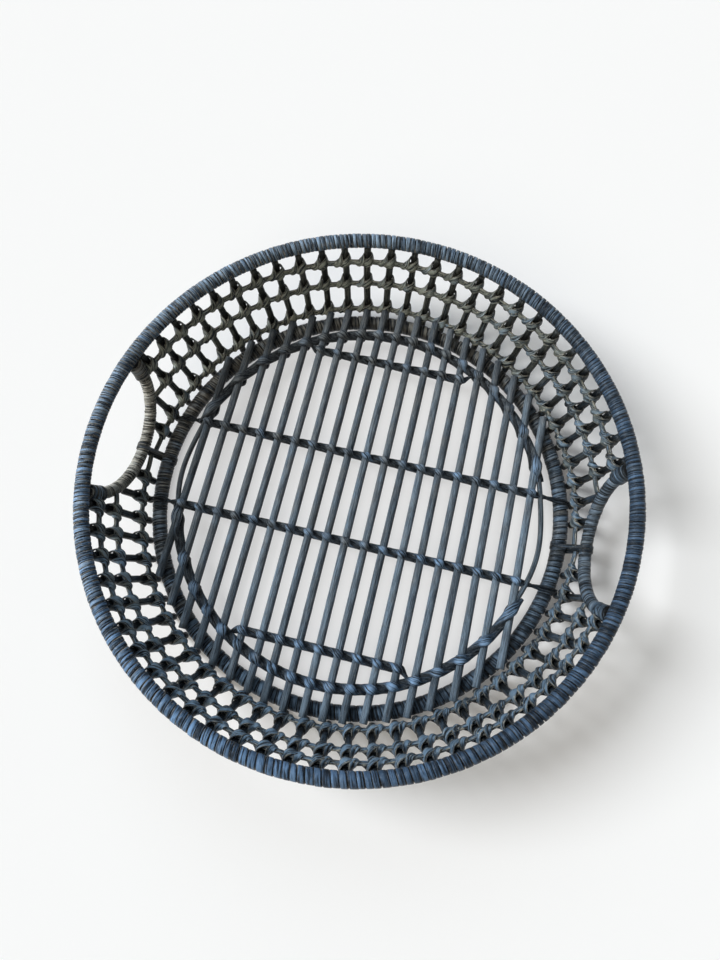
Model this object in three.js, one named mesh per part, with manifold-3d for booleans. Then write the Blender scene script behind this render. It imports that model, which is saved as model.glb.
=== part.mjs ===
// A round rattan tray: a slatted floor on a bound base ring, an openwork flared wall, a bound rim and two
// bow handles. Millimetres, +Z up. The origin is the centre of the face that the tray stands on, and +X
// points at the right handle.
import * as THREE from "three";
import Module from "manifold-3d";

// Overall sizes
const RIM_OUTER_DIAMETER = 420;
const HEIGHT = 82;
const BASE_RING_DIAMETER = 336; // along its centre line

// Hoops, bows and their bindings
const RIM_THICKNESS = 11.5; // over the binding
const BASE_THICKNESS = 12.5; // over the binding
const BOW_THICKNESS = 10; // over the binding
const BOW_HALF_ANGLE = THREE.MathUtils.degToRad(15.4); // from the middle of a handle to an end of its bow
const BOW_LOW_Z = 24.5; // centre line of the bow at its lowest point
const BINDING_THICKNESS = 1;
const BINDING_GAP = 0.6; // between a binding and the rod it is wound on
const BINDING_SLIT = 1.3; // between one turn and the next, along the rod
const BINDING_SIDES = 8; // flat faces in one turn
const HOOP_TURNS = 24;
const BOW_TURNS = 20;
const HOOP_STEPS = 48;
const BOW_STEPS = 24;
const TIE_WIDTH = 9;
const TIE_THICKNESS = 1.2;
const TIE_FIT = 0.6; // clearance under a tie, which is straight where the bow and the ring bend
const TIE_TUCK = THREE.MathUtils.degToRad(75); // how far a tie's inner end goes on round the base ring

// Floor
const ROD_COUNT = 19;
const ROD_DIAMETER = 6.2;
const ROD_SIDES = 8;
const ROD_OVERHANG = 7.5; // of the rods' ends past the base ring's centre line
const OUTER_ROD_INSET = 28.7; // from the base ring's centre line to the outermost rods, when centred
const ROD_SHIFT = -2.4; // of all the rods along X: they lie a little off centre
const STRAND_WIDTH = 3.6;
const STRAND_THICKNESS = 2.6;
const INNER_ROW_OFFSET = 37; // from the middle of the floor
const END_ROW_INSET = 44; // from the base ring's centre line
const RING_ROW_INSET = 18; // from the base ring's centre line
const RING_ROW_TAIL = 5; // past the outermost rods

// Wall
const STAKES_PER_PANEL = [5, 5, 5, 6, 5, 5]; // on each half of the wall
const STAKE_DIAMETER = 5.2;
const STAKE_SIDES = 6;
const FIRST_STAKE_ANGLE = THREE.MathUtils.degToRad(6.9); // from the middle of a handle
const HIGH_ROW_DROP = { back: 21.5, front: 18 }; // of the highest rows from the tray's top
const ROW_HEIGHTS = {
  back: { low: 15, middle: 40.5, high: HEIGHT - HIGH_ROW_DROP.back },
  front: { low: 18, middle: 46.5, high: HEIGHT - HIGH_ROW_DROP.front },
};
const ROW_WIDTH = 4.4;
const ROW_THICKNESS = 2.8;
const LACE_WIDTH = 3.4; // the strip that joins a panel's stakes on the outside
const LACE_THICKNESS = 1.6;
const LACE_TAIL = 2.5; // of that strip past the first and last stake

const FIT = 0.3; // clearance between pieces that touch
const SEARCH_STEP = 0.1; // mm, when a stake or a row is run up to a bow

const BLUE = { color: 0x33475f, roughness: 0.55, metalness: 0 };
const SLATE = { color: 0x4a5a6b, roughness: 0.6, metalness: 0 };
const CHARCOAL = { color: 0x2c343c, roughness: 0.65, metalness: 0 };
const CANE = { color: 0x5b4a38, roughness: 0.7, metalness: 0 }; // unstained rod under a binding

const wasm = await Module();
wasm.setup();

// Worked-out places
const cornerRadius = (thickness) => thickness / 2 / Math.cos(Math.PI / BINDING_SIDES);
const rimRadius = (RIM_OUTER_DIAMETER - RIM_THICKNESS) / 2;
const rimZ = HEIGHT - RIM_THICKNESS / 2;
const baseRadius = BASE_RING_DIAMETER / 2;
const baseZ = BASE_THICKNESS / 2;
const rodZ = BASE_THICKNESS + FIT + ROD_DIAMETER / 2;
const outerRodX = baseRadius - OUTER_ROD_INSET;
const rodPitch = (2 * outerRodX) / (ROD_COUNT - 1);
const strandOffset = (STRAND_WIDTH + FIT) / 2; // of two strands that pass side by side
const ringRowRadius = baseRadius - RING_ROW_INSET;
const endRowOffset = baseRadius - END_ROW_INSET;

// The stakes' centre lines point at the middle of the rim and pass just outside the base ring.
const stakeToBase = cornerRadius(BASE_THICKNESS) + FIT + STAKE_DIAMETER / 2;
const baseToRim = new THREE.Vector2(rimRadius - baseRadius, rimZ - baseZ);
const flare = Math.atan2(baseToRim.x, baseToRim.y) - Math.asin(stakeToBase / baseToRim.length());
const wallFootZ = rimZ - Math.sqrt(baseToRim.lengthSq() - stakeToBase ** 2) * Math.cos(flare);
const wallTopZ = rimZ - (cornerRadius(RIM_THICKNESS) + FIT) * Math.cos(flare);
const stakesPerHalf = STAKES_PER_PANEL.reduce((sum, count) => sum + count);
const rowInset = (STAKE_DIAMETER + ROW_THICKNESS) / 2 + FIT;

const wallRadius = (z) => rimRadius - (rimZ - z) * Math.tan(flare);
const radial = (angle) => new THREE.Vector3(Math.cos(angle), Math.sin(angle), 0);
const tangent = (angle) => new THREE.Vector3(-Math.sin(angle), Math.cos(angle), 0);
const UP = new THREE.Vector3(0, 0, 1);
const DOWN = new THREE.Vector3(0, 0, -1);

// Square to the wall, outwards, and straight up the wall.
const wallNormal = (angle) => radial(angle).multiplyScalar(Math.cos(flare)).setZ(-Math.sin(flare));
const wallSlope = (angle) => radial(angle).multiplyScalar(Math.sin(flare)).setZ(Math.cos(flare));

// A point on the stakes' surface, or a distance out from it.
function wallPoint(angle, z, out = 0) {
  const onWall = radial(angle).multiplyScalar(wallRadius(z)).setZ(z);
  return onWall.addScaledVector(wallNormal(angle), out);
}

// A closed body through rings of points, each ring anticlockwise when seen from the next one. A ring has an
// even number of points, and an end is closed like a ladder, so that a bent strip's end stays in the strip.
function loft(rings, closed = false) {
  const sides = rings[0].length;
  const points = rings.flat();
  const faces = [];
  const spans = closed ? rings.length : rings.length - 1;
  for (let i = 0; i < spans; i++) {
    const near = i * sides;
    const far = ((i + 1) % rings.length) * sides;
    for (let j = 0; j < sides; j++) {
      const k = (j + 1) % sides;
      const oneWay = points[near + k].distanceTo(points[far + j]);
      const otherWay = points[near + j].distanceTo(points[far + k]);
      if (oneWay <= otherWay) faces.push(near + j, near + k, far + j, near + k, far + k, far + j);
      else faces.push(near + j, near + k, far + k, near + j, far + k, far + j);
    }
  }
  const last = (rings.length - 1) * sides;
  for (let a = 0; a < sides / 2 - 1 && !closed; a++) {
    const [b, c, d] = [a + 1, sides - 2 - a, sides - 1 - a];
    faces.push(a, c, b, a, d, c);
    faces.push(last + a, last + b, last + c, last + a, last + c, last + d);
  }
  const geometry = new THREE.BufferGeometry();
  geometry.setAttribute("position", new THREE.Float32BufferAttribute(points.flatMap((p) => p.toArray()), 3));
  return geometry.setIndex(faces);
}

// Joins closed bodies that overlap into one.
function join(geometries) {
  const solids = geometries.map((geometry) => {
    const vertProperties = new Float32Array(geometry.getAttribute("position").array);
    const triVerts = new Uint32Array(geometry.index.array);
    return new wasm.Manifold(new wasm.Mesh({ numProp: 3, vertProperties, triVerts }));
  });
  const joined = solids.reduce((sum, solid) => sum.add(solid)).getMesh();
  const geometry = new THREE.BufferGeometry();
  geometry.setAttribute("position", new THREE.BufferAttribute(joined.vertProperties, 3));
  return geometry.setIndex(new THREE.BufferAttribute(joined.triVerts, 1));
}

function piece(name, geometry, finish) {
  const mesh = new THREE.Mesh(geometry, new THREE.MeshStandardMaterial(finish));
  mesh.name = name;
  return mesh;
}

// Paths: at(u), with u from 0 to 1, gives a point and two axes square to the path, whose cross product
// points along it.
function hoopPath(radius, z) {
  const at = (u) => {
    const normal = radial(2 * Math.PI * u);
    return { point: normal.clone().multiplyScalar(radius).setZ(z), normal, binormal: DOWN };
  };
  return { at, length: 2 * Math.PI * radius, closed: true };
}

// A handle's bow: half an ellipse drawn on the wall about angle 0, hanging from the rim.
function bowPath() {
  const place = (u) => {
    const turn = Math.PI * u;
    const angle = -BOW_HALF_ANGLE * Math.cos(turn);
    const z = wallTopZ - (wallTopZ - BOW_LOW_Z) * Math.sin(turn);
    return { angle, point: wallPoint(angle, z) };
  };
  const at = (u) => {
    const { angle, point } = place(u);
    const nudge = 1e-4;
    const along = place(u + nudge).point.sub(place(u - nudge).point).normalize();
    const normal = wallNormal(angle);
    return { point, normal, binormal: along.cross(normal) };
  };
  let length = 0;
  for (let i = 0; i < BOW_STEPS; i++) {
    length += place(i / BOW_STEPS).point.distanceTo(place((i + 1) / BOW_STEPS).point);
  }
  return { at, length, closed: false };
}

const aroundPath = ({ point, normal, binormal }, radius, turn) =>
  point
    .clone()
    .addScaledVector(normal, radius * Math.cos(turn))
    .addScaledVector(binormal, radius * Math.sin(turn));

// The rod inside a binding, with the binding's own flat faces.
function boundRod(path, thickness, steps) {
  const radius = cornerRadius(thickness - 2 * (BINDING_THICKNESS + BINDING_GAP));
  const rings = [];
  for (let i = 0; i < (path.closed ? steps : steps + 1); i++) {
    const frame = path.at(i / steps);
    const ring = [];
    for (let j = 0; j < BINDING_SIDES; j++) {
      ring.push(aroundPath(frame, radius, ((j + 0.5) * 2 * Math.PI) / BINDING_SIDES));
    }
    rings.push(ring);
  }
  return loft(rings, path.closed);
}

// A strip wound round a path in one unbroken helix, laid edge to edge. Its section is a thin band along the
// path, bent with it in `bends` pieces. On a hoop its two ends meet with a slit between them.
function bindingRings(path, thickness, turns, bends) {
  const outer = cornerRadius(thickness);
  const inner = cornerRadius(thickness - 2 * BINDING_THICKNESS);
  const pitch = path.closed ? path.length / turns : path.length / (turns + 1);
  const width = (pitch - BINDING_SLIT) / path.length;
  const start = path.closed ? 0 : pitch / path.length / 2;
  const endTurn = 2 * Math.PI * turns - (path.closed ? BINDING_SLIT / inner : 0);
  const stepTurn = (2 * Math.PI) / BINDING_SIDES;
  const rings = [];
  for (let i = 0; i <= turns * BINDING_SIDES; i++) {
    const turn = Math.min(i * stepTurn, endTurn);
    const middle = start + (turn * pitch) / (2 * Math.PI * path.length);
    const frames = [];
    for (let k = 0; k <= bends; k++) frames.push(path.at(middle + width * (k / bends - 0.5)));
    const under = frames.map((frame) => aroundPath(frame, inner, turn + stepTurn / 2));
    const over = frames.map((frame) => aroundPath(frame, outer, turn + stepTurn / 2));
    rings.push([...under, ...over.reverse()]);
  }
  return rings;
}

// The least distance between parts of a winding that lie half a turn or more apart along it.
function leastSelfGap(rings) {
  const samples = 6;
  const marks = [];
  for (let i = 0; i + 1 < rings.length; i++) {
    for (let s = 0; s < samples; s++) {
      const share = s / samples;
      rings[i].forEach((p, j) => {
        marks.push({ at: i + share, point: p.clone().lerp(rings[i + 1][j], share) });
      });
    }
  }
  let least = Infinity;
  for (let a = 0; a < marks.length; a++) {
    for (let b = a + 1; b < marks.length; b++) {
      if (marks[b].at - marks[a].at < BINDING_SIDES / 2) continue;
      least = Math.min(least, marks[a].point.distanceToSquared(marks[b].point));
    }
  }
  return Math.sqrt(least);
}

function binding(name, path, thickness, turns, bends, finish) {
  const rings = bindingRings(path, thickness, turns, bends);
  console.log(`${name}: least gap between turns ${leastSelfGap(rings).toFixed(2)} mm`);
  return piece(name, loft(rings), finish);
}

// A bound hoop: the rod and its binding.
function boundHoop(name, radius, z, thickness) {
  const path = hoopPath(radius, z);
  const bends = 2;
  return [
    piece(`${name}_hoop`, boundRod(path, thickness, HOOP_STEPS), CANE),
    binding(`${name}_binding`, path, thickness, HOOP_TURNS, bends, BLUE),
  ];
}

const bow = bowPath();
const bowLine = Array.from({ length: 8 * BOW_STEPS + 1 }, (_, i) => bow.at(i / (8 * BOW_STEPS)).point);
const distanceToBow = (p) => Math.min(...bowLine.map((q) => q.distanceTo(p)));

function boundBow(name) {
  const bends = 1;
  return [
    piece(`${name}_bow`, boundRod(bow, BOW_THICKNESS, BOW_STEPS), CANE),
    binding(`${name}_bow_binding`, bow, BOW_THICKNESS, BOW_TURNS, bends, BLUE),
  ];
}

// The strap that holds a bow down to the base ring: over the bow, with both ends tucked down beside the ring.
function bowTie(name) {
  const ringCentre = new THREE.Vector2(baseRadius, baseZ);
  const bowCentre = new THREE.Vector2(wallRadius(BOW_LOW_Z), BOW_LOW_Z);
  const ringReach = cornerRadius(BASE_THICKNESS) + TIE_FIT + TIE_THICKNESS / 2;
  const bowReach = cornerRadius(BOW_THICKNESS) + TIE_FIT + TIE_THICKNESS / 2;
  const lean = bowCentre.clone().sub(ringCentre);
  const open = Math.acos((ringReach - bowReach) / lean.length());
  const steps = 8;
  const route = [];
  const addStop = (centre, reach, turn) => {
    const out = new THREE.Vector2(Math.cos(turn), Math.sin(turn));
    route.push({ centre: centre.clone().addScaledVector(out, reach), out });
  };
  const addArc = (centre, reach, from, to, count) => {
    for (let i = 0; i <= count; i++) addStop(centre, reach, from + ((to - from) * i) / count);
  };
  addArc(ringCentre, ringReach, lean.angle() + open + TIE_TUCK, lean.angle() + open, steps / 2);
  addArc(bowCentre, bowReach, lean.angle() + open, lean.angle() - open, steps);
  addStop(ringCentre, ringReach, lean.angle() - open);
  const rings = route.map(({ centre, out }) => {
    const corner = (side, lift) => {
      const spot = centre.clone().addScaledVector(out, (lift * TIE_THICKNESS) / 2);
      return new THREE.Vector3(spot.x, (side * TIE_WIDTH) / 2, spot.y);
    };
    return [corner(-1, -1), corner(1, -1), corner(1, 1), corner(-1, 1)];
  });
  return piece(`${name}_bow_tie`, loft(rings), BLUE);
}

// Floor rods lie along Y across the base ring, side by side along X.
const rodX = (i) => ROD_SHIFT + (i - (ROD_COUNT - 1) / 2) * rodPitch;
const rodPlaces = Array.from({ length: ROD_COUNT }, (_, i) => rodX(i));

function floorRod(i) {
  const farCorner = Math.abs(rodX(i)) + ROD_DIAMETER / 2;
  const halfLength = Math.sqrt((baseRadius + ROD_OVERHANG) ** 2 - farCorner ** 2);
  const geometry = new THREE.CylinderGeometry(ROD_DIAMETER / 2, ROD_DIAMETER / 2, 2 * halfLength, ROD_SIDES);
  const rod = piece(`floor_rod_${String(i + 1).padStart(2, "0")}`, geometry, SLATE);
  rod.position.set(rodX(i), 0, rodZ);
  return rod;
}

// Strands with a diamond section, upright, across the direction that `ahead` gives.
function strand(name, stations, finish) {
  const rings = stations.map(({ point, ahead }) => {
    const aside = UP.clone().cross(ahead);
    return [
      point.clone().addScaledVector(aside, STRAND_WIDTH / 2),
      point.clone().addScaledVector(UP, STRAND_THICKNESS / 2),
      point.clone().addScaledVector(aside, -STRAND_WIDTH / 2),
      point.clone().addScaledVector(UP, -STRAND_THICKNESS / 2),
    ];
  });
  return piece(name, loft(rings), finish);
}

// How far above or below a rod's middle a strand bends, so that its slopes clear the rod by the fit.
function strandLift(reach) {
  const clear = (ROD_DIAMETER + STRAND_THICKNESS) / 2 + FIT;
  return (clear * reach) / Math.sqrt(reach ** 2 - clear ** 2);
}

// Two strands that twine round each other and take in a rod at each crossing. Crossings and the places
// between them are { point, ahead } on the rods' middle plane, and ends(...) gives the stations to add before
// and after.
function twinedPair(name, crossings, betweens, lift, ends) {
  return [1, -1].map((phase, which) => {
    const stations = [];
    crossings.forEach(({ point, ahead }, i) => {
      const side = i % 2 ? -phase : phase;
      stations.push({ point: point.clone().addScaledVector(UP, side * lift), ahead });
      if (i === crossings.length - 1) return;
      const between = betweens[i];
      const aside = UP.clone().cross(between.ahead).multiplyScalar(side * strandOffset);
      stations.push({ point: between.point.clone().add(aside), ahead: between.ahead });
    });
    const [before, after] = ends(stations[0], stations[stations.length - 1], phase);
    return strand(`${name}_strand_${which + 1}`, [...before, ...stations, ...after], CHARCOAL);
  });
}

// A straight row across the rods at `xs`. endOf(last, way, phase) gives a strand's points past its last rod.
function straightRow(name, y, xs, endOf) {
  const ahead = new THREE.Vector3(1, 0, 0);
  const station = (x) => ({ point: new THREE.Vector3(x, y, rodZ), ahead });
  const betweens = xs.slice(1).map((x, i) => station((x + xs[i]) / 2));
  const tail = (last, way, phase) => endOf(last.point, way, phase).map((point) => ({ point, ahead }));
  const ends = (first, last, phase) => [tail(first, -1, phase).reverse(), tail(last, 1, phase)];
  return twinedPair(name, xs.map(station), betweens, strandLift(rodPitch / 2), ends);
}

// The rows nearest the middle cross every rod, and their ends lie on the base ring.
function innerRow(name, rods) {
  const endX = Math.sqrt(baseRadius ** 2 - INNER_ROW_OFFSET ** 2);
  const endZ = BASE_THICKNESS + FIT + STRAND_THICKNESS / 2;
  const endOf = (_, way, phase) => {
    const y = INNER_ROW_OFFSET + way * phase * strandOffset;
    const brinkX = endX - BASE_THICKNESS / 2;
    return [brinkX, endX].map((x) => new THREE.Vector3(way * x, y, endZ));
  };
  return straightRow(name, INNER_ROW_OFFSET, rods, endOf);
}

// The rows near the rods' ends cross the rods that the ring row leaves room on.
function endRow(name, rods) {
  const room = 2 * strandOffset + STRAND_WIDTH + FIT;
  const xs = rods.filter((x) => ringRowRadius ** 2 - x ** 2 > (endRowOffset + room) ** 2);
  const endOf = (last, way) => [last.clone().setX(last.x + (way * (ROD_DIAMETER + STRAND_WIDTH)) / 2)];
  return straightRow(name, endRowOffset, xs, endOf);
}

// Half of the row that runs round just inside the base ring, from the outermost rod to the one opposite.
function ringRow(name, rods) {
  const angles = rods.map((x) => Math.acos(x / ringRowRadius)).reverse();
  const station = (angle) => {
    return { point: radial(angle).multiplyScalar(ringRowRadius).setZ(rodZ), ahead: tangent(angle) };
  };
  const betweens = rods.slice(1).map((x, i) => station(Math.acos((x + rods[i]) / 2 / ringRowRadius)));
  const tail = ({ point, ahead }, way) => {
    return [{ point: point.clone().addScaledVector(ahead, way * RING_ROW_TAIL), ahead }];
  };
  const ends = (first, last) => [tail(first, -1), tail(last, 1)];
  const lift = strandLift(rodPitch / 2 - strandOffset);
  return twinedPair(name, angles.map(station), betweens.reverse(), lift, ends);
}

// Wall stakes, evenly spaced from one handle to the other.
const stakeAngle = (i) => {
  return FIRST_STAKE_ANGLE + ((Math.PI - 2 * FIRST_STAKE_ANGLE) * i) / (stakesPerHalf - 1);
};

// An angle on the half wall as seen from the middle of the nearer handle.
const fromHandle = (angle) => Math.min(angle, Math.PI - angle);

// The height at which a stake meets the rim, or the bow above it.
function stakeTop(angle) {
  const away = fromHandle(angle);
  const clear = cornerRadius(BOW_THICKNESS) + FIT;
  const aside = tangent(away).multiplyScalar(STAKE_DIAMETER / 2);
  const free = (z) => {
    const end = wallPoint(away, z);
    return [end, end.clone().add(aside), end.clone().sub(aside)].every((p) => distanceToBow(p) > clear);
  };
  let z = wallFootZ;
  while (z + SEARCH_STEP < wallTopZ && free(z + SEARCH_STEP)) z += SEARCH_STEP;
  return z + SEARCH_STEP < wallTopZ ? z : wallTopZ;
}

function stake(angle) {
  const normal = wallNormal(angle);
  const across = wallSlope(angle).cross(normal);
  const ringAt = (z) => {
    const frame = { point: wallPoint(angle, z), normal, binormal: across };
    const ring = [];
    for (let j = 0; j < STAKE_SIDES; j++) {
      ring.push(aroundPath(frame, STAKE_DIAMETER / 2, (j * 2 * Math.PI) / STAKE_SIDES));
    }
    return ring;
  };
  return loft([ringAt(wallFootZ), ringAt(stakeTop(angle))]);
}

// A flat strip along the wall at one height, through the given angles.
function wallStrip(angles, z, out, width, thickness) {
  const rings = angles.map((angle) => {
    const centre = wallPoint(angle, z, out);
    const corner = (normal, slope) =>
      centre
        .clone()
        .addScaledVector(wallNormal(angle), (normal * thickness) / 2)
        .addScaledVector(wallSlope(angle), (slope * width) / 2);
    return [corner(1, 0), corner(0, -1), corner(-1, 0), corner(0, 1)];
  });
  return loft(rings);
}

// Neighbouring stakes, joined on the outside by the strip that laces them, at `height` or where they all reach.
function stakePanel(name, first, count, height) {
  const angles = Array.from({ length: count }, (_, i) => stakeAngle(first + i));
  const lowestTop = Math.min(...angles.map(stakeTop));
  const laceZ = Math.min(height, lowestTop - LACE_WIDTH / 2);
  const tail = LACE_TAIL / wallRadius(laceZ);
  const laced = [angles[0] - tail, ...angles, angles[count - 1] + tail];
  const lace = wallStrip(laced, laceZ, STAKE_DIAMETER / 2, LACE_WIDTH, LACE_THICKNESS);
  return piece(name, join([...angles.map(stake), lace]), CHARCOAL);
}

// A weaver strand inside the stakes, from bow to bow, or to the ties where it passes under the bows.
function wallRow(name, z) {
  const clear = cornerRadius(BOW_THICKNESS) + FIT + ROW_WIDTH / 2;
  const step = SEARCH_STEP / wallRadius(z);
  const besideTie = (TIE_WIDTH / 2 + FIT) / (wallRadius(z) - rowInset);
  const free = (angle) => angle > besideTie && distanceToBow(wallPoint(angle, z, -rowInset)) > clear;
  let reach = Math.PI / 2;
  while (free(reach - step)) reach -= step;
  const held = Array.from({ length: stakesPerHalf }, (_, i) => stakeAngle(i));
  const inside = held.filter((angle) => fromHandle(angle) > reach + step);
  const angles = [reach, ...inside, Math.PI - reach];
  return piece(name, wallStrip(angles, z, -rowInset, ROW_WIDTH, ROW_THICKNESS), SLATE);
}

// Half of the tray: one handle at angle 0, the wall from it to the other handle, and that half's floor rows.
// `rods` are the rods' places along X as that half sees them.
function halfTray(handle, side, rods) {
  const half = new THREE.Group();
  half.add(...boundBow(handle), bowTie(handle));
  half.add(...innerRow(`inner_row_${side}`, rods));
  half.add(...endRow(`end_row_${side}`, rods));
  half.add(...ringRow(`ring_row_${side}`, rods));
  const heights = ROW_HEIGHTS[side];
  let first = 0;
  STAKES_PER_PANEL.forEach((count, i) => {
    half.add(stakePanel(`wall_stakes_${side}_${i + 1}`, first, count, heights.middle));
    first += count;
  });
  for (const [level, z] of Object.entries(heights)) half.add(wallRow(`wall_row_${level}_${side}`, z));
  return half;
}

const tray = new THREE.Group();
tray.add(...boundHoop("rim", rimRadius, rimZ, RIM_THICKNESS));
tray.add(...boundHoop("base", baseRadius, baseZ, BASE_THICKNESS));
rodPlaces.forEach((_, i) => tray.add(floorRod(i)));
const backHalf = halfTray("right", "back", rodPlaces);
const turnedRods = rodPlaces.map((x) => -x).reverse();
const frontHalf = halfTray("left", "front", turnedRods);
frontHalf.rotation.z = Math.PI;
tray.add(backHalf, frontHalf);

export default tray;
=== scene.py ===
"""Looks of the rattan basket tray: wrapped hoops and bows, twined floor rods and a knotted openwork wall.

Sizes are in millimetres until a mesh is made. The frame is the CAD model's: +Z up, the tray stands on
z = 0, and +X points at the right handle. A tone runs from 0, dark, to 1, pale.
"""
import math

import bpy
import numpy as np
from mathutils import Matrix

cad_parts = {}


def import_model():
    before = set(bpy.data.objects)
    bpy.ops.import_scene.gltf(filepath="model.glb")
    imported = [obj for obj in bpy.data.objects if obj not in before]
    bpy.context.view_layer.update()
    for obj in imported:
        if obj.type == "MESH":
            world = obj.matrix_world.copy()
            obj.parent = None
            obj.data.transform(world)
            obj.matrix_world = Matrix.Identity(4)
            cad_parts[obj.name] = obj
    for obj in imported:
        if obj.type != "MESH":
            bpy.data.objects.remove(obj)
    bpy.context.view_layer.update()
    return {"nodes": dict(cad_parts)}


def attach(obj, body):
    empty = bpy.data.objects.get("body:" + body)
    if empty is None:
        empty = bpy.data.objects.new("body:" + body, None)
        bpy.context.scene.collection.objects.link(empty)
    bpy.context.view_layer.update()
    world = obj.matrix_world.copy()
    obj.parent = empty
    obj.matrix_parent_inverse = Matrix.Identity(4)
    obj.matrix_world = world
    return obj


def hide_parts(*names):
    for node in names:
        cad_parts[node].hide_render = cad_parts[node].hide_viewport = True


MM = 0.001
SEED = 11

# Driving sizes, the same as in the CAD model
RIM_OUTER_DIAMETER = 420
HEIGHT = 82
BASE_RING_DIAMETER = 336
RIM_THICKNESS = 11.5
BASE_THICKNESS = 12.5
HOOP_SIDES = 8
BOW_THICKNESS = 10
BOW_HALF_ANGLE = math.radians(15.4)
BOW_LOW_Z = 24.5
FIT = 0.3
ROD_COUNT = 19
ROD_DIAMETER = 6.2
ROD_OVERHANG = 7.5
OUTER_ROD_INSET = 28.7
ROD_SHIFT = -2.4
INNER_ROW_OFFSET = 37
END_ROW_INSET = 44
RING_ROW_INSET = 18
RING_ROW_TAIL = 5
STRAND_WIDTH = 3.6
STAKES_PER_PANEL = [5, 5, 5, 6, 5, 5]
STAKE_DIAMETER = 5.2
FIRST_STAKE_ANGLE = math.radians(6.9)
HIGH_ROW_DROP = {"back": 21.5, "front": 18}
ROW_HEIGHTS = {
    "back": {"low": 15, "middle": 40.5, "high": HEIGHT - HIGH_ROW_DROP["back"]},
    "front": {"low": 18, "middle": 46.5, "high": HEIGHT - HIGH_ROW_DROP["front"]},
}

# The camera that the photograph was taken with
CAMERA_AZIMUTH = math.radians(16.87)
CAMERA_ELEVATION = math.radians(74.26)
CAMERA_ROLL = math.radians(-3.55)
CAMERA_DISTANCE = 532.6
CAMERA_TARGET = (-1.94, 12.64, 30)
CAMERA_FOCUS_PIXELS = 656.1
PICTURE_HEIGHT_PIXELS = 960
SENSOR = 36
CLIP_START = 0.01  # m

# Worked-out places
rim_radius = (RIM_OUTER_DIAMETER - RIM_THICKNESS) / 2
rim_z = HEIGHT - RIM_THICKNESS / 2
base_radius = BASE_RING_DIAMETER / 2
base_z = BASE_THICKNESS / 2
rod_z = BASE_THICKNESS + FIT + ROD_DIAMETER / 2
rod_pitch = 2 * (base_radius - OUTER_ROD_INSET) / (ROD_COUNT - 1)
rod_x = ROD_SHIFT + (np.arange(ROD_COUNT) - (ROD_COUNT - 1) / 2) * rod_pitch
ring_row_radius = base_radius - RING_ROW_INSET
end_row_offset = base_radius - END_ROW_INSET


def corner_radius(thickness):
    """From the middle to a corner of the CAD model's hoops."""
    return thickness / 2 / math.cos(math.pi / HOOP_SIDES)


stake_to_base = corner_radius(BASE_THICKNESS) + FIT + STAKE_DIAMETER / 2
base_to_rim = math.hypot(rim_radius - base_radius, rim_z - base_z)
flare = math.atan2(rim_radius - base_radius, rim_z - base_z) - math.asin(stake_to_base / base_to_rim)
wall_foot_z = rim_z - math.sqrt(base_to_rim**2 - stake_to_base**2) * math.cos(flare)
wall_top_z = rim_z - (corner_radius(RIM_THICKNESS) + FIT) * math.cos(flare)

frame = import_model()
random = np.random.default_rng(SEED)


# Places on the tray

NUDGE = 1e-4  # of a bow's length, to find the way that it runs


def unit(vectors):
    return vectors / np.maximum(np.linalg.norm(vectors, axis=-1, keepdims=True), 1e-9)


def spread(*coordinates):
    """Points or directions from coordinates, which may be numbers or lists of them."""
    return np.stack(np.broadcast_arrays(*coordinates), axis=-1).astype(float)


def radial(angle):
    return spread(np.cos(angle), np.sin(angle), 0)


def wall_radius(z):
    return rim_radius - (rim_z - z) * math.tan(flare)


def wall_inward(angle):
    return spread(-math.cos(flare) * np.cos(angle), -math.cos(flare) * np.sin(angle), math.sin(flare))


def wall_slope(angle):
    return spread(math.sin(flare) * np.cos(angle), math.sin(flare) * np.sin(angle), math.cos(flare))


def wall_point(angle, z):
    return spread(wall_radius(z) * np.cos(angle), wall_radius(z) * np.sin(angle), z)


def bow_line(u):
    """The right-hand bow's centre line, u from 0 to 1: points, outward normals and binormals."""

    def place(share):
        angle = -BOW_HALF_ANGLE * np.cos(np.pi * share)
        z = wall_top_z - (wall_top_z - BOW_LOW_Z) * np.sin(np.pi * share)
        return angle, wall_point(angle, z)

    angle, point = place(u)
    along = unit(place(u + NUDGE)[1] - place(u - NUDGE)[1])
    normal = -wall_inward(angle)
    return point, normal, np.cross(along, normal)


def half_turn(points):
    """Turns points or directions half round the tray, from one handle to the other."""
    return points * np.array([-1, -1, 1])


# Meshes

# Sections of the strips and strands: a flatness of 1 is round, and less is flatter
STRIP_FLATNESS = 0.55
STRAND_FLATNESS = 0.7
CARRIER_FLATNESS = 0.8
NEARLY_ROUND = 0.9
STRIP_SIDES = 10
GRAIN_STARTS = 900  # how far apart the grain of two strands can start
WAVE_STARTS = 6  # radians


def wave_start():
    """Where an uneven strand's wave starts."""
    return random.uniform(0, WAVE_STARTS)


def smooth_line(points, steps):
    """A Catmull-Rom line through the rows of `points`, with `steps` samples a span."""
    points = np.asarray(points, float)
    padded = np.vstack([2 * points[0] - points[1], points, 2 * points[-1] - points[-2]])
    a, b, c, d = (padded[i : len(padded) - 3 + i, None] for i in range(4))
    t = np.linspace(0, 1, steps, endpoint=False)[None, :, None]
    spans = 2 * b + (c - a) * t + (2 * a - 5 * b + 4 * c - d) * t**2 + (3 * b - a - 3 * c + d) * t**3
    return np.vstack([spans.reshape(-1, points.shape[1]) / 2, points[-1:]])


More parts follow.
